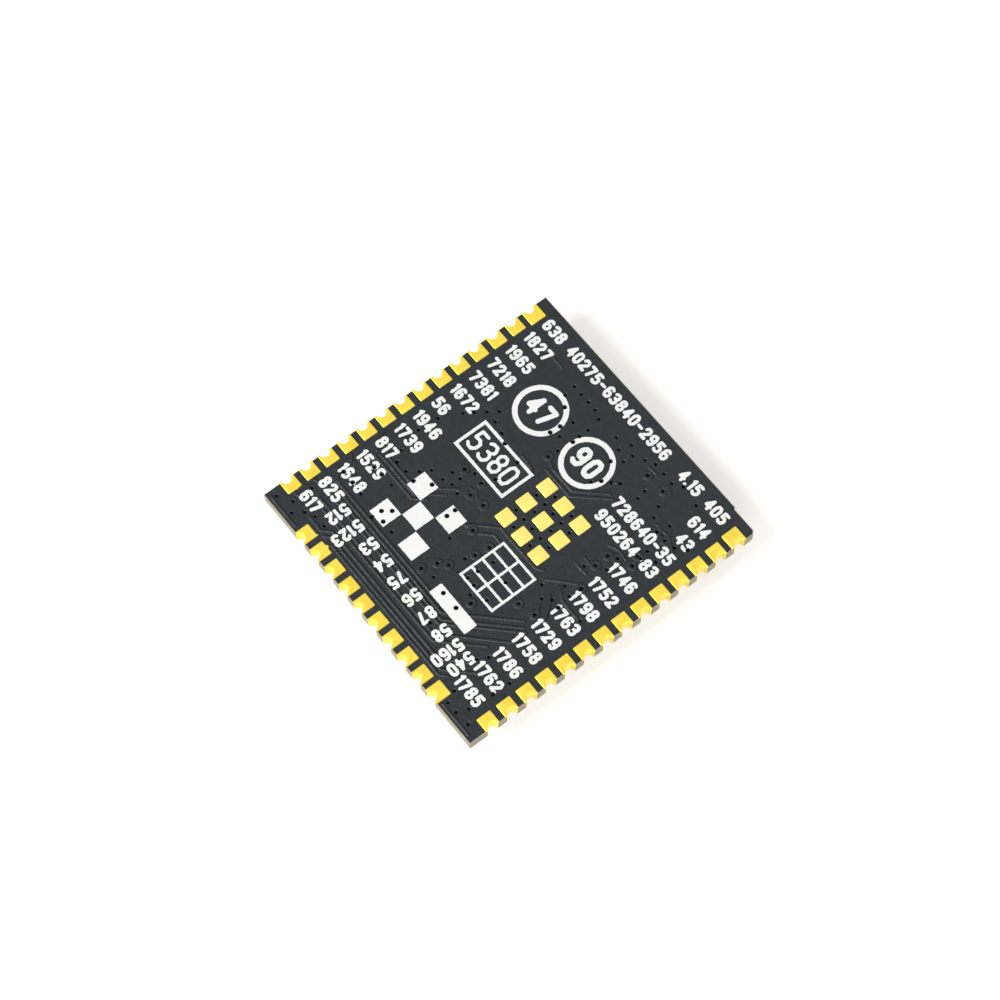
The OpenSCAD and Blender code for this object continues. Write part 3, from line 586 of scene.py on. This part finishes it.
# Strokes of each character on a grid 2 wide and 4 high, after its width
CHARACTERS = {
    "0": (2, [[(0.5, 0), (1.5, 0), (2, 0.8), (2, 3.2), (1.5, 4), (0.5, 4), (0, 3.2), (0, 0.8),
               (0.5, 0)]]),
    "1": (0.6, [[(0, 3.4), (0.6, 4), (0.6, 0)]]),
    "2": (2, [[(0, 3.2), (0.5, 4), (1.5, 4), (2, 3.2), (2, 2.6), (0, 0), (2, 0)]]),
    "3": (2, [[(0, 3.6), (0.5, 4), (1.5, 4), (2, 3.3), (2, 2.7), (1.4, 2.1), (0.8, 2.1)],
              [(1.4, 2.1), (2, 1.5), (2, 0.7), (1.5, 0), (0.5, 0), (0, 0.4)]]),
    "4": (2, [[(1.5, 0), (1.5, 4), (0, 1.2), (2, 1.2)]]),
    "5": (2, [[(1.9, 4), (0.2, 4), (0.1, 2.3), (1.3, 2.4), (2, 1.8), (2, 0.7), (1.4, 0),
               (0.5, 0), (0, 0.4)]]),
    "6": (2, [[(1.8, 3.7), (1.3, 4), (0.6, 4), (0, 3.2), (0, 0.8), (0.5, 0), (1.5, 0),
               (2, 0.7), (2, 1.6), (1.5, 2.2), (0.6, 2.2), (0, 1.7)]]),
    "7": (2, [[(0, 4), (2, 4), (0.8, 0)]]),
    "8": (2, [[(0.5, 2.1), (0.1, 2.8), (0.1, 3.4), (0.6, 4), (1.4, 4), (1.9, 3.4), (1.9, 2.8),
               (1.5, 2.1), (0.5, 2.1), (0, 1.4), (0, 0.7), (0.5, 0), (1.5, 0), (2, 0.7),
               (2, 1.4), (1.5, 2.1)]]),
    "9": (2, [[(0.2, 0.3), (0.7, 0), (1.4, 0), (2, 0.8), (2, 3.2), (1.5, 4), (0.5, 4),
               (0, 3.3), (0, 2.4), (0.5, 1.8), (1.4, 1.8), (2, 2.3)]]),
    "-": (1.6, [[(0, 2), (1.6, 2)]]),
    ".": (0.1, [[(0, 0.1), (0.1, 0.1)]]),
}

# The ink's edges waver the same way each time
noise.seed_set(7)


def uneven(outline):
    """An ink edge: the outline's sides split and moved a little, as a screen print is."""
    points = []
    for (ax, ay), (bx, by) in zip(outline, outline[1:] + outline[:1]):
        parts = max(1, round(math.hypot(bx - ax, by - ay) / EDGE_PART))
        for k in range(parts):
            x, y = ax + (bx - ax) * k / parts, ay + (by - ay) * k / parts
            shift = noise.noise_vector(Vector((x * WAVES_PER_MM, y * WAVES_PER_MM, 0.3)))
            points.append((x + shift.x * WAVER, y + shift.y * WAVER))
    return points


def printed(text, x, y, align="left", unit=GLYPH_UNIT, stroke=STROKE, gap=GLYPH_GAP, turn=0):
    """Outlines of a number whose middle height is at y and whose left or right end is at x."""
    step = stroke + gap
    length = sum(CHARACTERS[c][0] * unit + step for c in text) - step
    start = {"left": 0, "right": -length, "middle": -length / 2}[align]
    outlines = []
    for character in text:
        width, lines = CHARACTERS[character]
        for line in lines:
            spots = [(start + px * unit, (py - 2) * unit) for px, py in line]
            spots = turned(spots, x, y, turn)
            outlines += [capsule(a, b, stroke / 2, 4) for a, b in zip(spots, spots[1:])]
        start += width * unit + step
    return outlines


def ring_pieces(cx, cy, r, line, sides=40):
    """A printed ring as a run of four-sided pieces."""
    outer, inner = arc(cx, cy, r, 0, 360, sides), arc(cx, cy, r - line, 0, 360, sides)
    return [[outer[i], outer[i + 1], inner[i + 1], inner[i]] for i in range(sides)]


def oblong(x0, y0, x1, y1):
    """Outline of a rectangle between two corners."""
    return [(x0, y0), (x1, y0), (x1, y1), (x0, y1)]


def ruled(cx, cy, w, h, line, columns, rows):
    """A ruled frame: its upright and level lines."""
    lines = []
    for i in range(columns + 1):
        x = cx - w / 2 + i * (w - line) / columns
        lines.append(oblong(x, cy - h / 2, x + line, cy + h / 2))
    for j in range(rows + 1):
        y = cy - h / 2 + j * (h - line) / rows
        lines.append(oblong(cx - w / 2, y, cx + w / 2, y + line))
    return lines


# A title across the far end, then one number beside each pad of the left and right rows, of
# which the right row's last two stand a little high
TITLE_Y, FIRST_Y, LEFT_X, RIGHT_X, HIGH = 8.65, -7.85, -7.68, 7.55, 0.02
prints = [printed("638", -7.66, TITLE_Y), printed("40275-63840-2956", -5.6, TITLE_Y),
          printed("4.15", 3.95, TITLE_Y), printed("405", 7.5, TITLE_Y, "right")]
for row, text in enumerate(["617", "825", "1648", "1529", "817", "1739", "1946", "56", "1672",
                            "7381", "7218", "1965", "1827"]):
    prints.append(printed(text, LEFT_X, FIRST_Y + row * PITCH))
for row, text in enumerate(["1785", "1762", "1786", "1758", "1729", "1763", "1798", "1752",
                            "1746"]):
    y = FIRST_Y + row * PITCH + (HIGH if row > 6 else 0)
    prints.append(printed(text, RIGHT_X, y, "right"))
for y, text in ((3.76, "950264-83"), (4.9, "728640-35"), (6.2, "43"), (7.34, "614")):
    prints.append(printed(text, RIGHT_X, y, "right"))
# The end row's numbers read towards the end
END_Y = -6.58
for x, text in ((-5.58, "512"), (-4.38, "5123"), (-3.08, "53"), (-1.84, "54"), (-0.6, "75"),
                (0.67, "56"), (1.95, "87"), (3.23, "58"), (4.3, "5160"), (5.24, "540")):
    prints.append(printed(text, x, END_Y, turn=-90))
# Two rings with a number in each
RING_Y, RING_R, RING_LINE = 5.06, 1.55, 0.3
for x, text in ((-3.7, "47"), (0.3, "90")):
    prints.append(ring_pieces(x, RING_Y, RING_R, RING_LINE))
    prints.append(printed(text, x, RING_Y, "middle", unit=0.26, stroke=0.28, gap=0.14))
# The code frame and its number
prints.append(ruled(-3.0, 1.3, w=4.2, h=2.2, line=0.18, columns=1, rows=1))
prints.append(printed("5380", -3.05, 1.3, "middle", unit=0.28, stroke=0.19, gap=0.14))
# The plain bar
prints.append([rounded(2.52, -5.7, w=3.05, h=0.82, r=0.09)])
# The check pattern's five squares
CHECK_X, CHECK_Y, CHECK_PITCH, CHECK_HALF = -2.85, -3.9, 1.25, 0.6
for i, j in ((-1, -1), (-1, 1), (0, 0), (1, -1), (1, 1)):
    x, y = CHECK_X + i * CHECK_PITCH, CHECK_Y + j * CHECK_PITCH
    prints.append([oblong(x - CHECK_HALF, y - CHECK_HALF, x + CHECK_HALF, y + CHECK_HALF)])
# The ruled table
prints.append(ruled(2.55, -2.75, w=2.8, h=3.0, line=0.14, columns=2, rows=4))

# Each print is cut out round the vias under it, which the ink leaves open
OPEN_R, NEAR = PIT_R * 1.15, 0.1
ink_points, ink_faces = [], []
for outlines in prints:
    outlines = [uneven(o) for o in outlines]
    spots = np.array([p for o in outlines for p in o])
    low, high = spots.min(0) - NEAR, spots.max(0) + NEAR
    holes = [disc(x, y, OPEN_R, 12) for x, y in all_vias
             if low[0] < x < high[0] and low[1] < y < high[1]]
    count = len(outlines)
    flat, faces = cut_plane(outlines + holes,
                            lambda owners: bool(owners) and max(owners) < count)
    ink_faces += [[i + len(ink_points) for i in f] for f in faces]
    ink_points += flat.tolist()
ink_mesh = slab("printed_legend", ink_points, ink_faces, [INK_TOP] * len(ink_points),
                MASK_FACE - INK_SUNK)
placed("printed_legend", ink_mesh, [white_ink], ["legend_ink"])

# ---- Lands on the part side ----
# Copper lands for the can's wall and for every part, etched from the foil on the part side
# and plated with gold over nickel in the same bath as the pads.

for name in ("can_land", "part_lands"):
    dress(name, immersion_gold)

# ---- Shield can ----
# Nickel-silver sheet, 0.2 mm thick, deep-drawn into a lid with round edges and a notch for
# the antenna socket. The module lies on its flat face; its wall is soldered to the board.

CAN_H, CAN_T, CAN_R, CAN_EDGE, CAN_EASE = 2.35, 0.2, 0.8, 0.35, 0.02
can_low, can_high = (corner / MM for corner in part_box("shield_can"))
NOTCH_W, NOTCH_D, INNER_CORNER = 5.05, 2.46, 0.06

# Rolled nickel silver: warm grey, with the straight lines of the mill along the sheet. They
# are drawn about ten times as coarse as they are, or they would not show.
nickel_silver = finish_of("rolled_nickel_silver", "#c3c1ba", "#8f8c85", 3.0, (0.24, 0.4), 1.6,
                          metallic=1.0, stretch=(24, 1, 3), fine=2.5)


def can_outline(inset, z):
    """The can's outline drawn in by inset, at a height, with the same points each time."""
    x0, x1 = can_low.x + inset, can_high.x - inset
    y0, y1 = can_low.y + inset, can_high.y - inset
    nx, ny = can_high.x - NOTCH_W - inset, can_high.y - NOTCH_D - inset
    r = CAN_R - inset
    inner = INNER_CORNER + inset
    points = arc(x0 + r, y0 + r, r, 180, 270, 8) + arc(x1 - r, y0 + r, r, 270, 360, 8)
    points += arc(x1 - r, ny - r, r, 0, 90, 8)
    points += arc(nx + inner, ny + inner, inner, 270, 180, 4)
    points += arc(nx - r, y1 - r, r, 0, 90, 8) + arc(x0 + r, y1 - r, r, 90, 180, 8)
    return [(x, y, z) for x, y in points]


# The sheet's section as pairs of inset and height: up the outside, over the rim, down inside
bend = range(0, 91, 15)
skin = rolled_edge(CAN_EDGE, bend)
skin += [(0.0, CAN_H - CAN_EASE), (CAN_EASE, CAN_H), (CAN_T - CAN_EASE, CAN_H),
         (CAN_T, CAN_H - CAN_EASE)]
skin += [(CAN_T + inset, CAN_T + rise)
         for inset, rise in reversed(rolled_edge(CAN_EDGE - CAN_T, bend))]
solid("drawn_shield_can", lofted([can_outline(inset, z) for inset, z in skin], False),
      nickel_silver, ["shield_can"])

# ---- Can's solder ----
# Tin solder drawn up the can's wall from the land as it melted in the oven: a thin film under
# the rim and a hollow bead outside it.

# Reflowed tin solder: bright grey with a slightly crinkled skin.
tin_solder = finish_of("reflowed_tin_solder", "#c9cbcc", "#a6a9ab", 0.25, (0.2, 0.38), 6,
                       metallic=1.0)
LAND_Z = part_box("can_land")[0].z / MM
# The solder's section as pairs of inset from the can's outside and height
bead = [(CAN_T, CAN_H), (CAN_T, LAND_Z), (-0.08, LAND_Z), (-0.072, CAN_H), (-0.05, CAN_H - 0.04),
        (-0.028, CAN_H - 0.09), (-0.012, CAN_H - 0.15), (-0.002, CAN_H - 0.2),
        (0.03, CAN_H - 0.2), (0.03, CAN_H)]
solid("can_solder_bead", lofted([can_outline(inset, z) for inset, z in bead], True),
      tin_solder, ["can_solder"])

# ---- Antenna socket ----
# A cream moulded base holds a rolled and gilded tube with two ground feet, and a gilded
# contact in its middle. It is soldered to the board in the can's notch.

# Glass-filled liquid-crystal polymer, moulded: cream, dull.
cream_moulding = finish_of("cream_moulding", "#ece5d2", "#ddd4bd", 0.5, (0.45, 0.6), 3)
# Gold flashed over a drawn bronze tube: smoother and redder than the pads.
gilded_bronze = finish_of("gilded_bronze", "#f6cf62", "#e8b94a", 0.4, (0.18, 0.3), 0.8,
                          metallic=1.0)
dress("socket_base", cream_moulding)
base_low, base_high = (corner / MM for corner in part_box("socket_base"))
shell_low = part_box("socket_shell")[0] / MM
SOCKET_X, SOCKET_Y = (base_low.x + base_high.x) / 2, (base_low.y + base_high.y) / 2
FOOT_Z, TIP_Z = base_high.z, shell_low.z
BASE_H, SHELL_R, SHELL_T, SEAT_IN = 0.35, 1.0, 0.16, 0.04
FOOT_W, REACH, STRIP_EASE = 1.6, 1.5, 0.02
AXIS_R = 0.001


def turned_piece(section, count=64):
    """Faces of a piece turned about the socket's axis from a closed section (r, z)."""
    rings = []
    for k in range(count):
        a = math.radians(360 * k / count)
        rings.append([(SOCKET_X + r * math.cos(a), SOCKET_Y + r * math.sin(a), z)
                      for r, z in section])
    return lofted(rings, True)


def strip_of_sheet(x0, y0, z0, x1, y1, z1):
    """A flat strip between two corners, with its edges eased."""
    (x0, x1), (y0, y1), (z0, z1) = sorted((x0, x1)), sorted((y0, y1)), sorted((z0, z1))
    rings = []
    for inset, z in ((STRIP_EASE, z0), (0, z0 + STRIP_EASE), (0, z1 - STRIP_EASE),
                     (STRIP_EASE, z1)):
        rings.append([(x, y, z) for x, y in oblong(x0 + inset, y0 + inset,
                                                   x1 - inset, y1 - inset)])
    return lofted(rings, False)


# The tube's section: from its seat in the base past a snap groove to the round mouth
seat_z = FOOT_Z - BASE_H
groove = arc(SHELL_R + SHELL_T / 4, (seat_z + TIP_Z) / 2, SHELL_T / 2, 120, 240, 8)
mouth = arc(SHELL_R - SHELL_T / 2, TIP_Z + SHELL_T / 2, SHELL_T / 2, 0, -180, 9)
tube = [(SHELL_R - SEAT_IN, FOOT_Z - SHELL_T), (SHELL_R - SEAT_IN, seat_z), (SHELL_R, seat_z)]
tube += groove + mouth + [(SHELL_R - SHELL_T, FOOT_Z - SHELL_T)]
shell_faces = turned_piece(tube)
for side in (-1, 1):
    shell_faces += strip_of_sheet(
        SOCKET_X + side * (SHELL_R - SHELL_T), SOCKET_Y - FOOT_W / 2, FOOT_Z,
        SOCKET_X + side * REACH, SOCKET_Y + FOOT_W / 2, FOOT_Z - SHELL_T)
solid("gilded_socket_shell", shell_faces, gilded_bronze, ["socket_shell"])

contact_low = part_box("socket_contact")[0] / MM
CONTACT_R, CONTACT_EDGE, TAIL_W = 0.24, 0.1, 0.5
tip = arc(CONTACT_R - CONTACT_EDGE, contact_low.z + CONTACT_EDGE, CONTACT_EDGE, 0, -90, 6)
contact_faces = turned_piece([(AXIS_R, FOOT_Z), (CONTACT_R, FOOT_Z)] + tip
                             + [(AXIS_R, contact_low.z)], 40)
contact_faces += strip_of_sheet(SOCKET_X - TAIL_W / 2, SOCKET_Y, FOOT_Z,
                                SOCKET_X + TAIL_W / 2, SOCKET_Y - REACH, FOOT_Z - SHELL_T)
solid("gilded_socket_contact", contact_faces, gilded_bronze, ["socket_contact"])

# ---- Parts inside the can ----
# A radio chip, a memory chip, a crystal and rows of chip components, each soldered to its
# lands by the oven. The can closes over them, so they show only when it is taken away.

# Epoxy mould compound, transfer-moulded: near black, matt, with silica specks, which are
# drawn some three times as coarse as they are.
mould_compound = finish_of("mould_compound", "#2a2a2b", "#1c1c1d", 0.15, (0.55, 0.7), 4)
# Matt tin over a copper leadframe: pale grey, hardly mirrors.
tinned_copper = finish_of("tinned_copper", "#bdbfc0", "#a3a5a6", 0.2, (0.35, 0.5), 2,
                          metallic=1.0)
# Alumina fired brown-grey for the crystal's tub: dull, faintly grainy.
fired_alumina = finish_of("fired_alumina", "#978e80", "#857c6e", 0.3, (0.5, 0.65), 3)
# Nickel-plated iron alloy lid, seam-welded: smooth and pale.
nickel_lid = finish_of("nickel_lid", "#d2cfc4", "#bfbbae", 0.6, (0.2, 0.3), 1, metallic=1.0)
# Barium titanate fired to tan: dull, with a fine cut grain.
tan_ceramic = finish_of("tan_ceramic", "#b08d63", "#967349", 0.2, (0.4, 0.55), 3)
# Glazed resistor body, black glass over alumina: dark with a soft gloss.
black_glaze = finish_of("black_glaze", "#303238", "#22242a", 0.3, (0.15, 0.3), 1)
# Sintered ferrite: dark brown-grey and dull.
sintered_ferrite = finish_of("sintered_ferrite", "#645c55", "#4d4640", 0.2, (0.55, 0.7), 4)

for name, material, slot in (
        ("radio_chip", mould_compound, "chip_moulding"),
        ("radio_chip_leads", tinned_copper, "tinned_copper"),
        ("memory_chip", mould_compound, "chip_moulding"),
        ("memory_chip_leads", tinned_copper, "tinned_copper"),
        ("crystal_base", fired_alumina, "crystal_ceramic"),
        ("crystal_lid", nickel_lid, "crystal_lid"),
        ("capacitor_bodies", tan_ceramic, "capacitor_ceramic"),
        ("capacitor_ends", tinned_copper, "tinned_copper"),
        ("resistor_bodies", black_glaze, "resistor_glaze"),
        ("resistor_ends", tinned_copper, "tinned_copper"),
        ("inductor_bodies", sintered_ferrite, "inductor_ferrite"),
        ("inductor_ends", tinned_copper, "tinned_copper"),
        ("part_solder", tin_solder, "solder")):
    dress(name, material)

# ---- Table, light and camera ----
# A table of white paper in a pale room, under a large soft lamp on the end row's side and a
# weaker one on the right. The camera stands well back with a long lens and looks down on the
# pad side.

FLOOR_SIZE, FLOOR_DROP = 1.2, 2e-5
# The paper's own glow where it is seen, and the room's light on the module, in full whites
FLOOR_GLOW, ROOM_LIGHT = 0.48, 0.42
LAMP_AWAY, LAMP_SIDE = 0.3, 0.14

floor_mesh = bpy.data.meshes.new("floor")
floor_mesh.from_pydata([(x * FLOOR_SIZE, y * FLOOR_SIZE, -FLOOR_DROP) for x, y in
                        ((-1, -1), (1, -1), (1, 1), (-1, 1))], [], [(0, 1, 2, 3)])
floor = bpy.data.objects.new("floor", floor_mesh)
bpy.context.scene.collection.objects.link(floor)


def seen_by(tree):
    """The light path, and 1 for the rays of the camera and of mirroring surfaces."""
    path = add(tree, "LightPath")
    return path, add(tree, "Math", {"operation": "MAXIMUM"},
                     {0: path.outputs["Is Camera Ray"], 1: path.outputs["Is Glossy Ray"]})


# Matt white paper: it shows as white to the camera and in the metal, and keeps the shadow.
paper = bpy.data.materials.new("white_paper")
paper.use_nodes = True
tree = paper.node_tree
tree.nodes.clear()
path, seen = seen_by(tree)
glow = add(tree, "Math", {"operation": "MULTIPLY", 1: FLOOR_GLOW}, {0: seen})
sheen = add(tree, "Emission", {"Color": linear("#fffdf8")}, {"Strength": glow})
matt = add(tree, "BsdfDiffuse", {"Color": linear("#efeeec")})
both = add(tree, "AddShader", {}, {0: matt, 1: sheen})
add(tree, "OutputMaterial", {}, {"Surface": both})
floor_mesh.materials.append(paper)

# A plain white room: it is seen and mirrored at full white, and lights the module less.
world = bpy.data.worlds.new("pale_room")
world.use_nodes = True
bpy.context.scene.world = world
tree = world.node_tree
tree.nodes.clear()
path, seen = seen_by(tree)
through = add(tree, "Math", {"operation": "MAXIMUM"},
              {0: seen, 1: path.outputs["Is Transmission Ray"]})
strength = add(tree, "MapRange", {"To Min": ROOM_LIGHT, "To Max": 1.0}, {"Value": through})
room = add(tree, "Background", {"Color": (1.0, 1.0, 1.0, 1.0)}, {"Strength": strength})
add(tree, "OutputWorld", {}, {"Surface": room})


def direction(azimuth, elevation):
    """The way from the module towards a lamp or a viewer, in degrees from -Y and up."""
    a, e = math.radians(azimuth), math.radians(elevation)
    return Vector((math.sin(a) * math.cos(e), -math.cos(a) * math.cos(e), math.sin(e)))


def soft_lamp(name, azimuth, elevation, power, colour):
    """A square soft lamp that faces the module."""
    data = bpy.data.lights.new(name, "AREA")
    data.shape, data.size, data.energy = "SQUARE", LAMP_SIDE, power
    data.color = linear(colour)[:3]
    lamp = bpy.data.objects.new(name, data)
    back = direction(azimuth, elevation)
    lamp.location = back * LAMP_AWAY
    lamp.rotation_euler = back.to_track_quat("Z", "Y").to_euler()
    bpy.context.scene.collection.objects.link(lamp)


soft_lamp("key_lamp", azimuth=-10, elevation=48, power=0.62, colour="#fffaf2")
soft_lamp("fill_lamp", azimuth=46, elevation=42, power=0.27, colour="#fffdfa")

LENS, SENSOR = 106.77, 36.0
AZIMUTH, ELEVATION, ROLL = 54.51, 65.42, math.radians(-2.742)
TARGET = Vector((-0.878, 0.077, 3.2)) * MM
DISTANCE = 157.89 * MM
back = direction(AZIMUTH, ELEVATION)
level = Vector((math.cos(math.radians(AZIMUTH)), math.sin(math.radians(AZIMUTH)), 0))
upward = back.cross(level)
right = math.cos(ROLL) * level + math.sin(ROLL) * upward
up = -math.sin(ROLL) * level + math.cos(ROLL) * upward
camera_data = bpy.data.cameras.new("camera")
camera_data.lens, camera_data.sensor_width = LENS, SENSOR
camera_data.clip_start, camera_data.clip_end = 0.01, 10
camera = bpy.data.objects.new("camera", camera_data)
camera.matrix_world = Matrix((right, up, back)).transposed().to_4x4()
camera.location = TARGET + back * DISTANCE
bpy.context.scene.collection.objects.link(camera)
bpy.context.scene.camera = camera
bpy.context.scene.view_settings.view_transform = "Standard"
